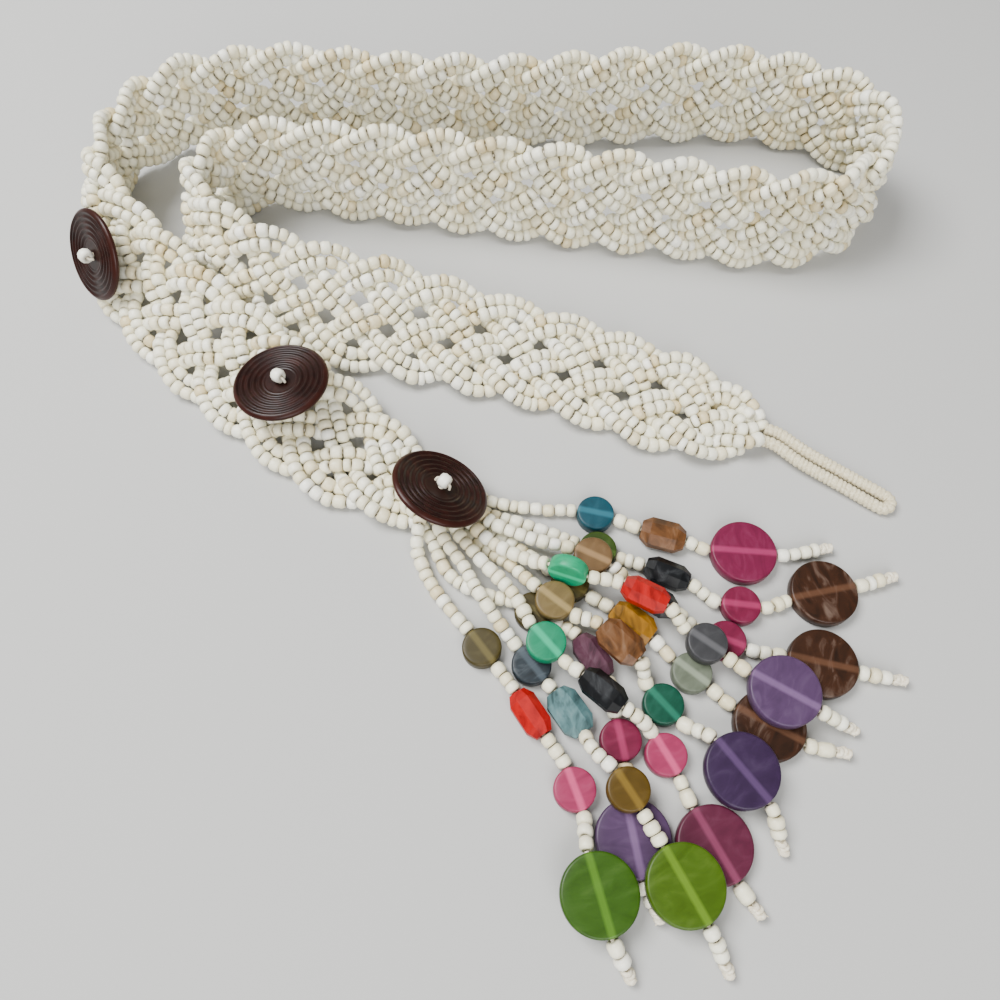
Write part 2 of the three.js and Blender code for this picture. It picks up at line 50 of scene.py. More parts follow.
# Middle of the band from the fringed end to the loop: x, y, and roll in degrees.
band_route = np.array([
    (-20, -1, 0), (-33, 6, 0), (-46, 14, 0), (-69, 31, 17), (-94, 51, 25), (-115, 71, 35),
    (-132, 91, 46), (-141, 108, 63), (-138, 126, 74), (-129, 144, 78), (-111, 155, 86),
    (-86, 161, 90), (-55, 160, 86), (-23, 157, 82), (11, 156, 85), (44, 158, 91),
    (74, 160, 90), (100, 157, 85), (120, 149, 84), (132, 137, 84), (133, 122, 84),
    (126, 108, 85), (110, 97, 86), (89, 95, 86), (62, 100, 86), (32, 105, 84),
    (1, 110, 84), (-29, 115, 85), (-58, 119, 89), (-82, 122, 94), (-97, 116, 99),
    (-104, 105, 103), (-102, 92, 110), (-91, 79, 120), (-72, 69, 131), (-49, 63, 145),
    (-25, 59, 161), (-1, 54, 174), (20, 47, 175), (40, 39, 177), (61, 30, 180), (82, 21, 180),
], float)
# How the plait narrows at its ends: distance from the end and width, as shares of the width.
fringe_end = np.array([(0, 0.62), (0.3, 0.76), (0.6, 0.92), (0.9, 1)])
loop_end = np.array([(0, 0.24), (0.12, 0.52), (0.3, 0.76), (0.5, 0.92), (0.75, 1)])


def smooth_line(points, count):
    """A centripetal Catmull-Rom curve: each span is a cubic through its two points, whose end
    slopes weigh the neighbouring chords by the square roots of their lengths."""
    padded = np.vstack([2 * points[0] - points[1], points, 2 * points[-1] - points[-2]])
    share = np.linspace(0, len(points) - 1, count)
    start = np.minimum(share.astype(int), len(points) - 2)
    w = (share - start)[:, None]
    a, b, c, d = (padded[start + step] for step in range(4))
    before, span, after = (
        np.sqrt(np.linalg.norm(v - u, axis=1))[:, None] for u, v in ((a, b), (b, c), (c, d))
    )
    leave = ((b - a) / before - (c - a) / (before + span) + (c - b) / span) * span
    arrive = ((c - b) / span - (d - b) / (span + after) + (d - c) / after) * span
    return (
        b
        + leave * w
        + (3 * (c - b) - 2 * leave - arrive) * w**2
        + (2 * (b - c) + leave + arrive) * w**3
    )


def run_lengths(points):
    """Distance along a line of points, from its first point to each."""
    steps = np.linalg.norm(np.diff(points, axis=0), axis=1)
    return np.concatenate([[0], np.cumsum(steps)])


def unit(vectors):
    """Each vector divided by its length."""
    return vectors / np.linalg.norm(vectors, axis=-1, keepdims=True)


line_count = 12001
flat_route = np.column_stack([band_route[:, :2], np.zeros(len(band_route))])
band_line = smooth_line(flat_route, line_count)
band_runs = run_lengths(band_line)
band_length = band_runs[-1]
route_share = np.linspace(0, len(band_route) - 1, line_count)
band_rolls = np.interp(route_share, np.arange(len(band_route)), band_route[:, 2])
band_along = unit(np.gradient(band_line, axis=0))
# Where the model's origin lies among these places, read from the large bead of the first string.
first_disc = (71, -18.5)
low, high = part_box("large_disc_01_3")
lay = np.array([(low.x + high.x) * 500 - first_disc[0], (low.y + high.y) * 500 - first_disc[1], 0])


def band_frame(distance):
    """Middle of the band and its three directions at distances from the fringed end: along it,
    across it towards the far edge, and out of its face. Its roll turns the last two round the
    first, and the middle is as high as the lower corner of its outline asks."""
    distance = np.asarray(distance, float)

    def read(values):
        columns = [np.interp(distance, band_runs, column) for column in values.T]
        return np.stack(columns, axis=-1)

    centre, along = read(band_line), unit(read(band_along))
    roll = np.radians(np.interp(distance, band_runs, band_rolls))[..., None]
    level = np.stack([along[..., 1], -along[..., 0], 0 * distance], axis=-1)
    aside = level * np.cos(roll) + np.array([0, 0, 1.0]) * np.sin(roll)
    edge, flat = np.abs(np.sin(roll[..., 0])), np.abs(np.cos(roll[..., 0]))
    half, wide = band_thickness / 2, band_width / 2
    centre[..., 2] = np.maximum(
        wide * edge + (half - band_corner) * flat, (wide - band_corner) * edge + half * flat
    )
    return centre, along, aside, np.cross(aside, along)


def on_band(distance, across, high):
    """Points at a distance along the band, moved across it and out of its face."""
    centre, _, aside, face = band_frame(distance)
    return centre + aside * across[..., None] + face * high[..., None]


def skin(name, points, faces, finishes, finish_of=None, **marks):
    """A smooth mesh from points in millimetres and four-cornered faces, with its materials, the
    number of each face's material, and values that its points carry."""
    mesh = bpy.data.meshes.new(name)
    mesh.vertices.add(len(points))
    mesh.vertices.foreach_set("co", ((points + lay) * 0.001).astype(np.float32).ravel())
    mesh.loops.add(faces.size)
    mesh.loops.foreach_set("vertex_index", faces.astype(np.int32).ravel())
    mesh.polygons.add(len(faces))
    mesh.polygons.foreach_set("loop_start", np.arange(0, faces.size, 4, dtype=np.int32))
    mesh.polygons.foreach_set("use_smooth", np.ones(len(faces), bool))
    if finish_of is not None:
        mesh.polygons.foreach_set("material_index", finish_of.astype(np.int32))
    for key, value in marks.items():
        kind = "FLOAT" if value.ndim == 1 else "FLOAT_VECTOR"
        word = "value" if value.ndim == 1 else "vector"
        carried = mesh.attributes.new(key, kind, "POINT")
        carried.data.foreach_set(word, value.astype(np.float32).ravel())
    mesh.update(calc_edges=True)
    for finish in finishes:
        mesh.materials.append(finish)
    piece = bpy.data.objects.new(name, mesh)
    bpy.context.scene.collection.objects.link(piece)
    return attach(piece, "root")


def grid_faces(rows, columns, around=True, closed=False):
    """Faces of a grid of points, row by row, whose columns run round and meet, and whose last
    row may meet the first."""
    i = np.arange(rows if closed else rows - 1)[:, None]
    j = np.arange(columns if around else columns - 1)[None, :]
    k, below = (j + 1) % columns, (i + 1) % rows
    corners = [i * columns + j, below * columns + j, below * columns + k, i * columns + k]
    return np.stack(np.broadcast_arrays(*corners), axis=-1).reshape(-1, 4)


def side_directions(along):
    """Two directions square to each given one."""
    upward = np.where(np.abs(along[..., 2:]) > 0.9, np.array([1.0, 0, 0]), np.array([0, 0, 1.0]))
    first = unit(np.cross(along, upward))
    return first, np.cross(first, along)


def cap_faces(start, sides):
    """Faces that close a flat ring of points, in strips from one side of it to the other."""
    j = np.arange(sides // 2 - 1)
    return start + np.stack([j, j + 1, sides - 2 - j, sides - 1 - j], axis=-1)


def capped(rows, sides):
    """Faces of a grid of points whose first and last rings are closed."""
    ends = [cap_faces(0, sides), cap_faces((rows - 1) * sides, sides)[:, ::-1]]
    return np.vstack([grid_faces(rows, sides), *ends])


def tube(line, radius, sides):
    """A tube round a line of points: a circle of the given radius at each, square to the line,
    closed at both ends. Returns its points and faces."""
    along = unit(np.gradient(line, axis=0))
    first, second = side_directions(along)
    angle = 2 * np.pi * np.arange(sides) / sides
    radius = np.broadcast_to(radius, len(line))[:, None, None]
    ring = first[:, None] * np.cos(angle)[:, None] + second[:, None] * np.sin(angle)[:, None]
    return (line[:, None] + ring * radius).reshape(-1, 3), capped(len(line), sides)


# Outline of a seed bead from one end to the other: place along it as a share of its length, and
# distance from its thread as a share of its radius. The last point meets the first in the bore.
# Each point's value darkens the beads towards their ends, where they meet: partly dirt, partly
# painted shade in the joints.
seed_outline = np.array([(-0.5, 0.4), (-0.45, 0.8), (-0.23, 1), (0.23, 1), (0.45, 0.8), (0.5, 0.4)])
seed_end_dirt_and_shade = np.array([1, 0.5, 0, 0, 0.5, 1])
seed_sides = 10
# How uneven the beads are: spreads of length, width and swell as shares of each, of how far a
# bead points away from its thread as a share of its length, and of its place in millimetres.
length_spread, width_spread, swell_spread = 0.13, 0.045, 0.03
direction_spread, place_spread = 0.045, 0.05
dice = np.random.default_rng(11)


def seed_row(line, width=seed_width, length=seed_length):
    """Seed beads threaded along a line of points: an outline turned round the thread, in uneven
    lengths and widths that fill the line. Returns points, faces and the marks of each point, its
    bead's tone and its darkening towards the bead's ends, partly dirt and partly painted shade."""
    runs = run_lengths(line)
    count = max(1, int(round(runs[-1] / length)))
    lengths = np.clip(dice.normal(1, length_spread, count), 0.7, 1.35)
    ends = np.concatenate([[0], np.cumsum(lengths)]) * runs[-1] / lengths.sum()
    places = np.stack([np.interp(ends, runs, column) for column in line.T], axis=-1)
    along = unit(places[1:] - places[:-1])
    along = unit(along + dice.normal(0, direction_spread, along.shape))
    radius = width / 2 * np.clip(dice.normal(1, width_spread, count), 0.88, 1.07)
    middle = (places[:-1] + places[1:]) / 2 + dice.normal(0, place_spread, along.shape)
    middle[:, 2] = np.maximum(middle[:, 2], radius * 1.06)
    first, second = side_directions(along)
    size = (ends[1:] - ends[:-1]) * 0.99
    angle = 2 * np.pi * np.arange(seed_sides) / seed_sides
    turn = dice.uniform(0, 2 * np.pi, count)[:, None] + angle
    ring = first[:, None] * np.cos(turn)[..., None] + second[:, None] * np.sin(turn)[..., None]
    swell = 1 + dice.normal(0, swell_spread, (count, 1, 1, 1))
    points = (
        middle[:, None, None]
        + along[:, None, None] * (seed_outline[:, 0] * size[:, None])[..., None, None]
        + ring[:, None] * (seed_outline[:, 1] * radius[:, None])[..., None, None] * swell
    )
    faces = grid_faces(len(seed_outline), seed_sides, closed=True)
    step = len(seed_outline) * seed_sides
    faces = faces[None] + (np.arange(count) * step)[:, None, None]
    tone = np.repeat(dice.uniform(0, 1, count), step)
    # How far each point is darkened towards its bead's ends: partly dirt, partly painted shade.
    shade = np.tile(np.repeat(seed_end_dirt_and_shade, seed_sides), count)
    return points.reshape(-1, 3), faces.reshape(-1, 4), np.column_stack([tone, shade, 0 * tone])


def joined(parts):
    """Several sets of points and faces as one, with the number of the set that each face is in."""
    offsets = np.cumsum([0] + [len(part[0]) for part in parts[:-1]])
    faces = np.vstack([part[1] + offset for part, offset in zip(parts, offsets)])
    set_of = np.repeat(np.arange(len(parts)), [len(part[1]) for part in parts])
    return np.vstack([part[0] for part in parts]), faces, set_of


def new_finish(name):
    """A material with its node tree, its main shader and a way to add nodes to it. A setting
    named in_3 is the value of the node's input number 3."""
    finish = bpy.data.materials.new(name)
    finish.use_nodes = True
    tree = finish.node_tree
    shader = tree.nodes["Principled BSDF"]

    def add(kind, links=(), **settings):
        node = tree.nodes.new(kind)
        for key, value in settings.items():
            if key.startswith("in_"):
                node.inputs[int(key[3:])].default_value = value
            else:
                setattr(node, key, value)
        for source, target in links:
            tree.links.new(source, node.inputs[target])
        return node

    return finish, tree, shader, add


def colour(red, green, blue):
    """A screen colour, 0 to 255, as the shader's linear one."""
    c = np.array([red, green, blue]) / 255
    return (*np.where(c <= 0.04045, c / 12.92, ((c + 0.055) / 1.055) ** 2.4), 1.0)


def ramp(node, stops):
    """Sets a colour ramp's stops from pairs of place and colour."""
    while len(node.color_ramp.elements) < len(stops):
        node.color_ramp.elements.new(0.5)
    for element, (place, shade) in zip(node.color_ramp.elements, stops):
        element.position = place
        element.color = shade


# Opaque ivory glass: each bead has its own tone, from tan through cream to white, with a fine
# speckle and a slightly uneven, soft gloss.
ivory, tree, shader, add = new_finish("ivory_seed")
marks = add("ShaderNodeAttribute", attribute_name="marks")
parts = add("ShaderNodeSeparateXYZ", [(marks.outputs["Vector"], 0)])
shade = add("ShaderNodeValToRGB", [(parts.outputs["X"], 0)])
ramp(shade, [
    (0.0, colour(214, 197, 152)), (0.05, colour(226, 213, 174)), (0.16, colour(237, 229, 197)),
    (0.5, colour(243, 238, 211)), (0.85, colour(247, 244, 223)), (1.0, colour(251, 249, 236)),
])
place = add("ShaderNodeTexCoord")
speckle = add("ShaderNodeTexNoise", [(place.outputs["Object"], "Vector")])
speckle.inputs["Scale"].default_value = 900
speckle.inputs["Detail"].default_value = 3
tint = add("ShaderNodeMix", [(shade.outputs[0], 6)], data_type="RGBA", blend_type="MULTIPLY")
tint.inputs[0].default_value = 0.1
tree.links.new(speckle.outputs["Fac"], tint.inputs[7])
# Painted shade, with some dirt: towards its ends each bead is mixed with a dark brown, where it
# meets the next.
depth = add("ShaderNodeMath", [(parts.outputs["Y"], 0)], operation="MULTIPLY")
depth.inputs[1].default_value = 0.42
joint_dirt_and_shade = add("ShaderNodeMix", [(depth.outputs[0], 0), (tint.outputs[2], 6)], data_type="RGBA")
joint_dirt_and_shade.inputs[7].default_value = colour(120, 104, 78)
tree.links.new(joint_dirt_and_shade.outputs[2], shader.inputs["Base Color"])
gloss = add("ShaderNodeMapRange", [(speckle.outputs["Fac"], 0)], in_3=0.3, in_4=0.5)
tree.links.new(gloss.outputs[0], shader.inputs["Roughness"])
dent = add("ShaderNodeBump", [(speckle.outputs["Fac"], "Height")])
dent.inputs["Strength"].default_value = 0.12
dent.inputs["Distance"].default_value = 0.0002
tree.links.new(dent.outputs[0], shader.inputs["Normal"])
shader.inputs["Subsurface Weight"].default_value = 0.06
shader.inputs["Subsurface Radius"].default_value = (1.0, 0.8, 0.6)
shader.inputs["Subsurface Scale"].default_value = 0.002


def thread_finish(name, dark, light):
    """Spun thread: fine noise between two shades, matt, with a bump of the same noise."""
    finish, tree, shader, add = new_finish(name)
    place = add("ShaderNodeTexCoord")
    fibre = add("ShaderNodeTexNoise", [(place.outputs["Object"], "Vector")])
    fibre.inputs["Scale"].default_value = 1400
    fibre.inputs["Detail"].default_value = 4
    shade = add("ShaderNodeValToRGB", [(fibre.outputs["Fac"], 0)])
    ramp(shade, [(0.3, dark), (0.7, light)])
    tree.links.new(shade.outputs[0], shader.inputs["Base Color"])
    shader.inputs["Roughness"].default_value = 0.9
    dent = add("ShaderNodeBump", [(fibre.outputs["Fac"], "Height")])
    dent.inputs["Strength"].default_value = 0.4
    dent.inputs["Distance"].default_value = 0.0003
    tree.links.new(dent.outputs[0], shader.inputs["Normal"])
    return finish


cotton = thread_finish("cream_thread", colour(208, 196, 170), colour(240, 233, 214))

# The plait: how sharply a pair turns back, how wide its beads are, how far its strings lie from
# its middle and swing out of the plait's, room at the edge, sway, and how flat the crossings lie.
bend = 0.88
full_width = seed_width * 1.06
pair_spread = full_width / 2 + 0.02
lift = band_thickness / 2 - full_width / 2
edge_room, sway_reach, flatness = 0.2, 0.3, 1.7
thread_width = 1.0


def narrowed(distance):
    """Width of the plait as a share of its full width, less at its two ends."""
    near = np.interp(distance / band_width, *fringe_end.T)
    far = np.interp((band_length - distance) / band_width, *loop_end.T)
    return np.minimum(near, far)


def plaited_string(pair, side, start, end):
    """One string's way through the plait. Its pair swings from edge to edge as a rounded
    triangle wave, the arcsine of a cosine, five scallops long, and the pairs follow each other
    one scallop apart. It crosses four others on each way over, so its height is a wave one
    scallop long, stretched where it turns back."""
    d = np.arange(start, end, 0.4)
    sway = np.random.default_rng(100 + pair)
    wobble = sum(
        np.sin(2 * np.pi * d / wave + sway.uniform(0, 2 * np.pi)) for wave in (31, 47, 83)
    )
    turn = d / scallop_pitch - pair
    half_width = band_width / 2 * narrowed(d)
    reach = half_width - full_width - edge_room + sway_reach * wobble * narrowed(d)
    across = reach * np.arcsin(bend * np.cos(2 * np.pi * turn / 5)) / np.arcsin(bend)
    slope = np.gradient(across, d)
    square = np.hypot(1, slope)
    phase = turn % 2.5
    wave = np.where(
        phase < 0.5,
        np.sin(np.pi * phase),
        np.where(phase > 2, -np.cos(np.pi * (phase - 2)), -np.cos(2 * np.pi * phase)),
    )
    high = lift * np.tanh(flatness * wave) / np.tanh(flatness)
    line = on_band(
        np.clip(d - side * pair_spread * slope / square, 0, band_length),
        across + side * pair_spread / square,
        high,
    )
    line[:, 2] = np.maximum(line[:, 2], full_width / 2 + 0.1)
    return line


# How far short of the band's plain end each pair stops.
pair_ends = [5, 0.4, 5.5, 0.4, 7]
for pair in range(5):
    beads, threads = [], []
    for side in (-1, 1):
        line = plaited_string(pair, side, 0.3, band_length - pair_ends[pair])
        beads.append(seed_row(line, width=full_width))
        threads.append(tube(line[::7], thread_width / 2, 6))
    points, faces, set_of = joined([*beads, *threads])
    marks = np.zeros((len(points), 3))
    marks[: sum(len(part[0]) for part in beads)] = np.vstack([part[2] for part in beads])
    on_thread = (set_of >= len(beads)).astype(int)
    name = f"plaited_pair_{pair + 1}"
    plait = skin(name, points, faces, [ivory, cotton], on_thread, marks=marks)
    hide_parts("band")

# The closing loop: a cord bent double at the plain end, bound from end to end with cream thread
# in close turns. It opens to pass over a button.
loop_width, leg_spacing, loop_stub = 3.8, 4.6, 4.0
turn_pitch, groove_depth, loop_sides = 1.45, 0.55, 20
loop_tip = np.array([119, -4, loop_width / 2])
centre, along, aside, _ = band_frame(band_length)
way = unit((loop_tip - centre) * (1, 1, 0))
square = np.array([way[1], -way[0], 0])
turn_centre = loop_tip - way * (leg_spacing / 2 + loop_width / 2)
reach = np.linalg.norm(turn_centre - centre)
near_side = np.sign(square @ aside)


def leg_point(side, share):
    """A point of one leg, at a share of the way from the band to the bend."""
    point = turn_centre - way * reach * (1 - share) + square * side * leg_spacing / 2
    point[2] = centre[2] + (loop_width / 2 - centre[2]) * share
    return point


def leg_start(side):
    """The first two points of a leg, straight out of the band's end."""
    start = centre + along * gap + aside * side * leg_spacing / 2
    return [start, start + along * loop_stub]


angles = np.radians([-60, -20, 20, 60])
bend_points = [
    turn_centre + leg_spacing / 2 * (way * np.cos(angle) + square * np.sin(angle))
    for angle in angles
]
shares = (0.35, 0.7, 1)
loop_points = [*leg_start(-near_side), *(leg_point(-1, share) for share in shares), *bend_points]
loop_points += [*(leg_point(1, share) for share in shares[::-1]), *leg_start(near_side)[::-1]]
line = smooth_line(np.array(loop_points), 3000)
runs = run_lengths(line)
rings_per_turn = 10
even = np.linspace(0, runs[-1], int(runs[-1] / turn_pitch * rings_per_turn))
line = np.stack([np.interp(even, runs, column) for column in line.T], axis=-1)


def wound_cord(line, width, pitch, depth, sides):
    """A cord bound with thread: a tube whose radius rises and falls once for each turn, along a
    helix, so each turn is a rounded ridge with a sharp groove beside it."""
    along = unit(np.gradient(line, axis=0))
    first, second = side_directions(along)
    angle = 2 * np.pi * np.arange(sides) / sides
    turns = run_lengths(line)[:, None] / pitch + angle / (2 * np.pi)
    uneven = 0.12 * np.sin(2.1 * turns) + 0.1 * np.sin(0.37 * turns + 1)
    ridge = np.abs(np.sin(np.pi * (turns + uneven)))
    radius = width / 2 - depth * (1 - np.sqrt(ridge))
    ring = first[:, None] * np.cos(angle)[:, None] + second[:, None] * np.sin(angle)[:, None]
    return (line[:, None] + ring * radius[..., None]).reshape(-1, 3), capped(len(line), sides)


loop_thread = thread_finish("loop_thread", colour(192, 180, 146), colour(230, 221, 192))
points, faces = wound_cord(line, loop_width, turn_pitch, groove_depth, loop_sides)
wound = skin("wound_cord", points, faces, [loop_thread])
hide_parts("wound_loop")

# Three buttons turned from dark shell, with rings cut into their outer part. Each is held by a
# thread that comes up through its middle and passes through a seed bead lying on it.
button_width, button_thickness, ring_depth, ring_count = 29.0, 2.6, 0.4, 5
button_hole, button_sides, rim_highlight_width, rim_highlight_fade = 1.8, 72, 1.6, 1.2
# Thread through each button and over its seed bead, and that bead's width, height and half length.
stem_width, tie_width, tie_seed_width = 1.64, 0.8, 4.3
tie_seed_rise, tie_seed_half = 1.55, 1.75
# Distance along the band, offset across it, height of hang, and tilts along and across.
button_places = [(137, -1, 4.4, -3, -17), (55, 3.5, 5.3, 6, 16), (-4, -2, 6.4, -13, 28)]


def turned(outline, sides, origin, axes):
    """An outline of distances from an axis and heights along it, turned round that axis."""
    angle = -2 * np.pi * np.arange(sides) / sides
    out = axes[0] * np.cos(angle)[:, None] + axes[1] * np.sin(angle)[:, None]
    points = origin + out * outline[:, 0, None, None] + axes[2] * outline[:, 1, None, None]
    return points.reshape(-1, 3)


def button_outline():
    """Underside, rounded rim, and a face whose outer two thirds rise and fall in rings, as the
    square of a cosine, over a shallow hollow."""
    rim = button_width / 2
    under = np.array([(button_hole / 2, 0.25), (4, 0.1), (rim - 1.6, 0), (rim - 0.5, 0.35)])
    swing = np.linspace(-1.1, 1.3, 7)
    side = np.column_stack([rim - 0.75 + 0.75 * np.cos(swing), 1.15 + 0.85 * np.sin(swing)])
    far, near = rim - 1.1, 4.6
    radius = np.linspace(far, button_hole / 2 + 0.3, 120)
    share = np.clip((radius - near) / (far - near), 0, 1)
    rings = np.cos(np.pi * share * ring_count) ** 2 * np.clip(share * 8, 0, 1)
    face = button_thickness - 0.55 - 0.2 * (1 - share) + ring_depth * rings
    throat = np.array([(button_hole / 2, face[-1] - 0.3), (button_hole / 2, 0.6)])
    return np.vstack([under, side, np.column_stack([radius, face]), throat])


# Coconut shell: near black brown with short fine grain and a soft polish, and a painted highlight
# round the rim, lighter and redder there in patches.
shell, tree, shader, add = new_finish("turned_shell")
place = add("ShaderNodeTexCoord")
grain = add("ShaderNodeTexNoise", [(place.outputs["Object"], "Vector")])
grain.inputs["Scale"].default_value = 260
grain.inputs["Detail"].default_value = 6
grain.inputs["Distortion"].default_value = 1.2
patches = add("ShaderNodeTexNoise", [(place.outputs["Object"], "Vector")])
patches.inputs["Scale"].default_value = 70
dark = add("ShaderNodeValToRGB", [(grain.outputs["Fac"], 0)])
ramp(dark, [(0.3, colour(20, 7, 5)), (0.55, colour(31, 11, 7)), (0.75, colour(44, 16, 10))])
# Painted highlight: the outer rim of each button is mixed, in patches, towards a lighter red brown.
rim_highlight_mark = add("ShaderNodeAttribute", attribute_name="rim")
rim_highlight_patches = [(rim_highlight_mark.outputs["Fac"], 0), (patches.outputs["Fac"], 1)]
rim_highlight = add("ShaderNodeMath", rim_highlight_patches, operation="MULTIPLY")
tint = add("ShaderNodeMix", [(rim_highlight.outputs[0], 0), (dark.outputs[0], 6)], data_type="RGBA")
tint.inputs[7].default_value = colour(56, 21, 13)
tree.links.new(tint.outputs[2], shader.inputs["Base Color"])
wear = add("ShaderNodeMapRange", [(grain.outputs["Fac"], 0)], in_3=0.24, in_4=0.4)
tree.links.new(wear.outputs[0], shader.inputs["Roughness"])
shader.inputs["Specular IOR Level"].default_value = 0.2
dent = add("ShaderNodeBump", [(grain.outputs["Fac"], "Height")])
dent.inputs["Strength"].default_value = 0.15
dent.inputs["Distance"].default_value = 0.0003
tree.links.new(dent.outputs[0], shader.inputs["Normal"])

for number, (at, across, hang, tilt_along, tilt_across) in enumerate(button_places, 1):
    centre, along, aside, face = band_frame(max(at, 0))
    seat = band_thickness / 2 + gap + hang
    origin = centre + along * min(at, 0) + aside * across + face * seat
    cos, sin = np.cos(np.radians(tilt_across)), np.sin(np.radians(tilt_across))
    tip = np.array([[1, 0, 0], [0, cos, -sin], [0, sin, cos]])
    cos, sin = np.cos(np.radians(tilt_along)), np.sin(np.radians(tilt_along))
    lean = np.array([[cos, 0, sin], [0, 1, 0], [-sin, 0, cos]])
    axes = (np.column_stack([along, -aside, face]) @ tip @ lean).T
    outline = button_outline()
    points = turned(outline, button_sides, origin, axes)
    faces = grid_faces(len(outline), button_sides, closed=True)
    # Where the painted rim highlight lies: none 1.6 mm inside the edge, rising to full 0.4 mm inside
    # it.
    rim_highlight_rise = (outline[:, 0] - button_width / 2 + rim_highlight_width) / rim_highlight_fade
    rim = np.repeat(np.clip(rim_highlight_rise, 0, 1), button_sides)
    button = skin(f"shell_button_{number}", points, faces, [shell], rim=rim)
    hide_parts(f"button_{number}")
    top = origin + axes[2] * (button_thickness + tie_seed_rise)
    ends = np.array([top - axes[0] * tie_seed_half, top + axes[0] * tie_seed_half])
    stem = np.array([origin - axes[2] * hang, origin + axes[2] * (button_thickness + 0.3)])
    # The thread's bow over the seed bead: places across the button and out of it.
    over = [(-2.4, -1.6), (-2.1, -0.4), (-1.2, 0.0), (0, 0.05), (1.2, 0.0), (2.1, -0.4), (2.4, -1.6)]
    tie = np.array([top + axes[0] * out + axes[2] * up for out, up in over])
    bead = seed_row(ends, width=tie_seed_width)
    threads = [
        tube(smooth_line(stem, 4), stem_width / 2, 8),
        tube(smooth_line(tie, 25), tie_width / 2, 8),
    ]
    points, faces, set_of = joined([bead, *threads])
    marks = np.zeros((len(points), 3))
    marks[: len(bead[2])] = bead[2] * (0, 1, 0) + (0.97, 0, 0)
    name, on_thread = f"button_seed_{number}", np.minimum(set_of, 1)
    pin = skin(name, points, faces, [ivory, cotton], on_thread, marks=marks)
    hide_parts(f"button_bead_{number}")

# The fringe: below the plait its ten strings hang free. Each runs through seed beads and three
# or four coloured resin beads, and its thread is knotted under the last seed bead.
bead_sizes = {
    "small_disc": (11.0, 11.0, 4.0), "large_disc": (19.0, 19.0, 4.0),
    "slim_tube": (13.0, 7.5, 6.0), "wide_tube": (13.0, 9.0, 5.4),
}
# Points of each string from the band to its knot: x, y, layer, then its bead, colour and lean.
fringe_routes = [
    [(-4, -1, 0), (10, -4, 0), (28.5, -6, 0, "small_disc", "blue"),
     (48, -13, 0, "wide_tube", "amber"), (71, -18.5, 0, "large_disc", "pink"), (96, -17, 0)],
    [(-4, -5.5, 0), (12, -11, 0), (28.5, -17.7, 0, "small_disc", "moss"),
     (48, -25.4, 0, "slim_tube", "night"), (68, -34.8, 0, "small_disc", "plum"),
     (92, -31, 0, "large_disc", "brown"), (113, -26, 0)],
    [(-7, -4.5, 1), (-4, -9.5, 1), (10, -16, 1), (26.5, -21.5, 1, "small_disc", "peach"),
     (43.5, -33, 0, "slim_tube", "smoke"), (62.5, -45, 0, "small_disc", "plum"),
     (88, -51.5, 0, "large_disc", "brown"), (109, -56, 0)],
    [(-11, -6, 1), (-8.5, -11, 1), (-1, -18, 1), (8, -23, 1.4),
     (19, -27, 1, "small_disc", "jade", 84), (40, -34, 1.5, "slim_tube", "red"),
     (56, -47, 1, "small_disc", "smoke"), (75, -60, 1, "large_disc", "violet"), (93, -69, 0)],
    [(-12, -11.5, 0), (1, -21, 0.2), (15.2, -34.8, 1, "small_disc", "tan"),
     (32.6, -46.8, 1.1, "wide_tube", "amber"), (43.5, -62.5, 0, "small_disc", "pine"),
     (61, -80, 1, "large_disc", "indigo"), (70, -98, 0)],
    [(-9, -8, 0), (5, -17, 0), (20, -28, 0, "small_disc", "olive"),
     (37, -40, 0, "wide_tube", "mustard"), (52, -54, 0, "small_disc", "pearl"),
     (71, -68, 0, "large_disc", "brown"), (90, -75, 0)],
    [(-15.1, -7.2, 1), (-12.5, -13.5, 1), (-5, -23, 1), (4, -33, 1),
     (12.5, -46.6, 1, "small_disc", "emerald"), (27, -60, 1.15, "slim_tube", "night"),
     (36.8, -67.3, 1.05), (43, -75.5, 0, "small_disc", "rose"),
     (53, -97, 0, "large_disc", "wine"), (62, -112, 0)],
    [(-20, -14.5, 0), (-15, -25, 0), (-4, -31.5, 0), (9.5, -36.5, 0, "small_disc", "olive"),
     (25.4, -49.7, 0, "slim_tube", "mauve"), (31.5, -71.8, 0, "small_disc", "plum"),
     (33, -95.5, 0, "large_disc", "violet"), (38, -113, 0)],
    [(-19.3, -8.6, 1), (-17, -14.5, 1), (-10, -25, 1), (-5, -34, 1), (1, -42, 0.4),
     (8.6, -51.8, 0, "small_disc", "slate"), (18.5, -64.5, 0, "wide_tube", "teal"),
     (22.5, -72.5, 0.7), (26, -77, 1), (32, -84.5, 1, "small_disc", "bronze"),
     (44, -106, 1, "large_disc", "lime"), (53, -124, 0)],
    [(-23.5, -10.5, 1), (-24.5, -17, 0.4), (-20.5, -27, 0), (-14, -36, 0),
     (-5, -47, 0, "small_disc", "olive"), (8, -65, 0, "slim_tube", "red"),
     (19, -84, 0, "small_disc", "rose"), (23.5, -108, 1, "large_disc", "green"), (30, -125, 0)],
]
# Layer and place across of each string where it leaves the band.
string_roots = [(0, 2), (0, 1), (1, 2), (1, 1), (0, -1), (0, 0), (1, 0), (0, -2), (1, -1), (1, -2)]
neck_length, knot_length, knot_size = 0.8, 2.0, 2.9
bore_thread, neck_thread, knot_thread = 1.2, 1.1, 1.3
end_centre, end_along, end_aside, _ = band_frame(0)


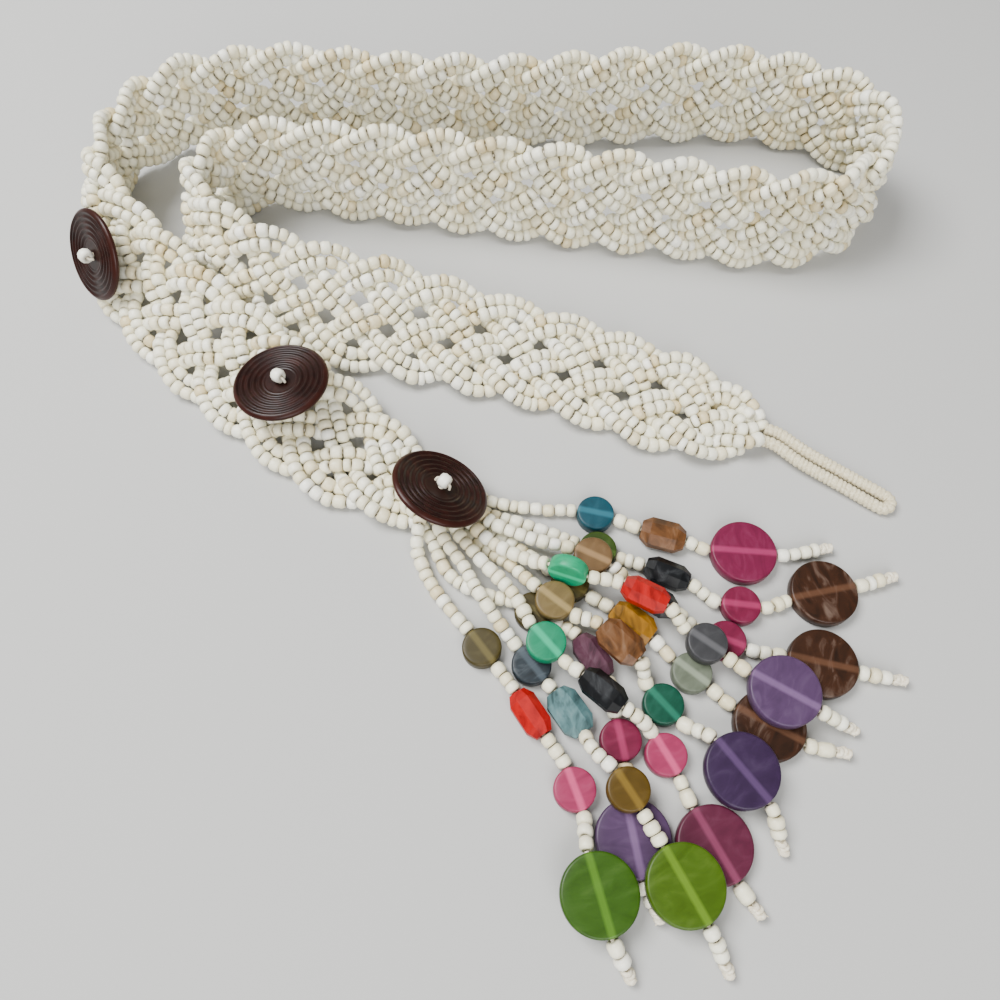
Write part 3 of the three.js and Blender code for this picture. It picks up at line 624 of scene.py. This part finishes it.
def bead_places(route, root):
    """Middle and thread direction of every point of a route. A bead's height is half of what it
    measures as it lies, above the layers under it, and its thread is level inside it."""
    points = []
    for x, y, layers, *bead in route:
        _, width, height = bead_sizes[bead[0]] if bead else (0, seed_width, seed_width)
        lean = np.radians(bead[2]) if len(bead) > 2 else 0
        half = (height * abs(np.cos(lean)) + width * abs(np.sin(lean))) / 2
        points.append((x, y, half + layers * layer))
    points = np.array(points)
    every = np.vstack([root, points])
    ahead = every[np.minimum(np.arange(len(points)) + 2, len(points))]
    return points, unit((ahead - every[:-1]) * (1, 1, 0))


def stretch(start, leaving, end, arriving, through):
    """A stretch of seed beads between two beads: a smooth line through its chosen points, or a
    cubic with handles a third of its span long along the two threads."""
    if through:
        return smooth_line(np.array([start, *through, end]), 200)
    third = np.linalg.norm(end - start) / 3
    t = np.linspace(0, 1, 60)[:, None]
    inner = start + leaving * third, end - arriving * third
    return (
        (1 - t) ** 3 * start
        + 3 * t * (1 - t) ** 2 * inner[0]
        + 3 * t**2 * (1 - t) * inner[1]
        + t**3 * end
    )


def knot(place, along, size):
    """A small knot: a thread wound two and a half times round the string's end, as a helix that
    swells and rises in waves."""
    first, second = side_directions(along)
    angle = np.linspace(0, 5.2 * np.pi, 60)[:, None]
    out = size * (0.5 + 0.12 * np.sin(angle * 1.5))
    rise = along * (np.linspace(-0.45, 0.5, 60)[:, None] * size + 0.25 * size * np.sin(angle))
    return place + rise + (first * np.cos(angle) + second * np.sin(angle)) * out * 0.62


all_beads = []
for number, (route, (root_layer, root_place)) in enumerate(zip(fringe_routes, string_roots), 1):
    root = end_centre - end_along * gap + end_aside * root_place * layer
    root[2] = seed_width / 2 + root_layer * layer
    points, directions = bead_places(route, root)
    start, leaving, through = root, -end_along, []
    lines, threads = [], []
    for point, direction, row in zip(points[:-1], directions, route):
        if len(row) == 3:
            through.append(point)
            continue
        half = bead_sizes[row[3]][0] / 2 + gap
        lines.append(stretch(start, leaving, point - direction * half, direction, through))
        start, leaving, through = point + direction * half, direction, []
        threads.append(tube(np.linspace(point - direction * half, start, 4), bore_thread / 2, 6))
        all_beads.append((number, row, point, direction))
    away = unit(points[-1] - start)
    last = points[-1] - away * (neck_length + knot_length)
    lines.append(stretch(start, leaving, last, away, through))
    beads = [seed_row(line) for line in lines]
    threads += [tube(line[::6], thread_width / 2, 6) for line in lines]
    tail = points[-1] - away * (knot_length * 0.5)
    threads.append(tube(np.linspace(lines[-1][-1], tail, 3), neck_thread / 2, 6))
    threads.append(tube(knot(tail, away, knot_size), knot_thread / 2, 6))
    # Four frayed ends of the thread, fanned out from the knot.
    side = np.cross((0, 0, 1.0), away)
    for fan in (-0.9, -0.35, 0.2, 0.75):
        wisp = np.array([(0.2, 0.1, 0), (1.5, 0.7, 0.35), (2.4 + 0.5 * fan, 1.8, -0.1)])
        stray = tail + wisp[:, :1] * away + wisp[:, 1:2] * side * fan + wisp[:, 2:] * (0, 0, 1)
        stray[:, 2] = np.maximum(stray[:, 2], 0.5)
        threads.append(tube(smooth_line(stray, 12), np.linspace(0.4, 0.14, 12), 6))
    points, faces, set_of = joined([*beads, *threads])
    marks = np.zeros((len(points), 3))
    marks[: sum(len(part[0]) for part in beads)] = np.vstack([part[2] for part in beads])
    on_thread = (set_of >= len(beads)).astype(int)
    name = f"fringe_string_{number:02d}"
    string = skin(name, points, faces, [ivory, cotton], on_thread, marks=marks)
    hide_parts(f"string_{number:02d}")

# Flat discs of tinted resin, drilled from rim to rim. The thread shows through as a paler line,
# the dark ones are streaked like horn, and their faces are polished.
tints = {
    "blue": (14, 60, 72), "moss": (45, 64, 17), "peach": (96, 73, 45), "jade": (5, 144, 98),
    "tan": (98, 82, 47), "emerald": (0, 116, 80), "olive": (54, 46, 14),
    "slate": (30, 38, 44), "amber": (92, 58, 29), "night": (7, 9, 12), "red": (158, 6, 5),
    "mustard": (138, 94, 14), "mauve": (74, 42, 56), "teal": (76, 108, 110),
    "smoke": (50, 50, 52), "pearl": (86, 93, 78), "pine": (4, 62, 45),
    "rose": (136, 40, 74), "plum": (98, 18, 48), "bronze": (71, 52, 5), "pink": (98, 20, 52),
    # The violet tint holds painted shade: it is darker than the resin itself, as for a disc that
    # lies in shade.
    "brown": (48, 25, 11), "violet": (68, 47, 76), "indigo": (43, 26, 54),
    "wine": (75, 23, 44), "lime": (54, 80, 2), "green": (40, 72, 2),
}
streaked = {
    "brown": 0.6, "slate": 0.5, "night": 0.5, "amber": 0.4, "teal": 0.35, "mauve": 0.3,
    "mustard": 0.3,
}
cut_names = ("amber", "night", "smoke", "red", "mustard", "mauve", "teal")
disc_sides, disc_softness = 64, 0.7


def resin(name, cut=False):
    """Tinted resin: its colour drifts a little, streaks run through it along the thread, and the
    drilled hole shows as a paler line, a soft step in the distance from the thread. Resin that is
    cut in facets has stronger streaks and no line."""
    base = np.array(tints[name])
    finish, tree, shader, add = new_finish(f"resin_{name}_cut" if cut else f"resin_{name}")
    grain = add("ShaderNodeAttribute", attribute_name="grain")
    place = add("ShaderNodeTexCoord")
    millimetres = add("ShaderNodeMapping", [(place.outputs["Object"], "Vector")])
    millimetres.inputs["Scale"].default_value = (1000, 1000, 1000)
    source = millimetres.outputs[0] if cut else grain.outputs["Vector"]
    squeeze = add("ShaderNodeMapping", [(source, "Vector")])
    squeeze.inputs["Scale"].default_value = (1.0, 0.45, 1.0)
    drift = add("ShaderNodeTexNoise", [(squeeze.outputs[0], "Vector")])
    drift.inputs["Scale"].default_value = 0.22
    drift.inputs["Detail"].default_value = 5
    drift.inputs["Distortion"].default_value = 1.6
    streak = streaked.get(name, 0.05)
    pale = base + (235 - base) * (0.05 + streak * 0.35)
    shade = add("ShaderNodeValToRGB", [(drift.outputs["Fac"], 0)])
    ramp(shade, [
        (0.3, colour(*(base * (0.92 - 0.5 * streak - 0.15 * cut)))),
        (0.52, colour(*base)), (0.78, colour(*pale)),
    ])
    parts = add("ShaderNodeSeparateXYZ", [(grain.outputs["Vector"], 0)])
    off = add("ShaderNodeMath", [(parts.outputs["Y"], 0)], operation="ABSOLUTE")
    bore = 0.0 if cut else 0.62
    line = add(
        "ShaderNodeMapRange", [(off.outputs[0], 0)], in_1=0.5, in_2=1.25, in_3=bore, in_4=0.0
    )
    tint = add("ShaderNodeMix", [(line.outputs[0], 0), (shade.outputs[0], 6)], data_type="RGBA")
    tint.inputs[7].default_value = colour(*np.minimum(base * 1.3 + 28, 235))
    tree.links.new(tint.outputs[2], shader.inputs["Base Color"])
    haze = add("ShaderNodeMapRange", [(drift.outputs["Fac"], 0)], in_3=0.3, in_4=0.5)
    tree.links.new(haze.outputs[0], shader.inputs["Roughness"])
    shader.inputs["Subsurface Weight"].default_value = 0.2
    shader.inputs["Subsurface Radius"].default_value = tuple(0.4 + 0.6 * base / 255)
    shader.inputs["Subsurface Scale"].default_value = 0.003
    shader.inputs["Specular IOR Level"].default_value = 0.25
    return finish


resins = {name: resin(name) for name in tints}
cut_resins = {name: resin(name, cut=True) for name in cut_names}


def disc_outline(width, height):
    """Section of a disc, turned about its short axis: flat faces and a rounded rim, whose corner
    is a cosine flattened by a power."""
    swing = np.linspace(-np.pi / 2, np.pi / 2, 9)
    soft = disc_softness
    out = width / 2 - soft + soft * np.cos(swing) ** 0.8
    rise = (height / 2 - soft) * np.sign(np.sin(swing)) + soft * np.sin(swing)
    rim = np.column_stack([out, rise])
    rim[4] = (width / 2, 0)
    inner = np.array([(width * 0.12, -height / 2), (width * 0.36, -height / 2)])
    return np.vstack([inner, rim, inner[::-1] * (1, -1)])


counts = {}
for number, row, point, direction in all_beads:
    counts[number] = counts.get(number, 0) + 1
    node = f"{row[3]}_{number:02d}_{counts[number]}"
    if "disc" not in row[3]:
        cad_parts[node].material_slots[0].material = cut_resins[row[4]]
        continue
    _, width, height = bead_sizes[row[3]]
    lean = np.radians(row[5]) if len(row) > 5 else 0
    level = np.cross((0, 0, 1.0), direction)
    across = level * np.cos(lean) + np.array([0, 0, 1.0]) * np.sin(lean)
    up = np.cross(direction, across)
    outline = disc_outline(width, height)
    points = turned(outline, disc_sides, point, (direction, across, up))
    local = (points - point) @ np.column_stack([direction, across, up])
    grain = local + dice.uniform(-40, 40, 3) * (1, 0, 1)
    faces = capped(len(outline), disc_sides)
    disc = skin(f"{node}_polished", points, faces, [resins[row[4]]], grain=grain)
    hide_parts(node)

# A pale floor under soft light, and the camera at the height and tilt of the picture.
floor_reach = 3.0
corners = [(x * floor_reach, y * floor_reach, 0) for x, y in ((-1, -1), (1, -1), (1, 1), (-1, 1))]
floor_mesh = bpy.data.meshes.new("floor")
floor_mesh.from_pydata(corners, [], [(0, 1, 2, 3)])
floor = bpy.data.objects.new("floor", floor_mesh)
bpy.context.scene.collection.objects.link(floor)
paper, tree, shader, add = new_finish("pale_paper")
shader.inputs["Base Color"].default_value = colour(176, 176, 174)
shader.inputs["Roughness"].default_value = 0.95
floor_mesh.materials.append(paper)

sky = bpy.data.worlds.new("sky")
sky.use_nodes = True
sky.node_tree.nodes["Background"].inputs["Color"].default_value = (1.0, 0.985, 0.96, 1.0)
sky.node_tree.nodes["Background"].inputs["Strength"].default_value = 0.4
bpy.context.scene.world = sky
for name, place, size, power in [
    ("window", (-0.5, 0.2, 0.95), 0.55, 24.0),
    ("fill", (0.15, -1.0, 0.75), 0.9, 19.0),
]:
    lamp = bpy.data.lights.new(name, "AREA")
    lamp.size = size
    lamp.energy = power
    light = bpy.data.objects.new(name, lamp)
    light.location = place
    bpy.context.scene.collection.objects.link(light)
    aim = -light.location
    light.rotation_mode = "QUATERNION"
    light.rotation_quaternion = aim.to_track_quat("-Z", "Y")

# How far the camera stands in front of place (0, 0) and how high, in millimetres, and how far it
# looks up from straight down, in degrees.
camera_front, camera_height, camera_tilt = 110.06, 216.0, 27
lens = bpy.data.cameras.new("camera")
lens.sensor_width = 36.0
lens.lens = 28.58
camera = bpy.data.objects.new("camera", lens)
camera.location = (lay[0] / 1000, (lay[1] - camera_front) / 1000, camera_height / 1000)
camera.rotation_euler = (np.radians(camera_tilt), 0, 0)
bpy.context.scene.collection.objects.link(camera)
bpy.context.scene.camera = camera

bpy.context.view_layer.update()
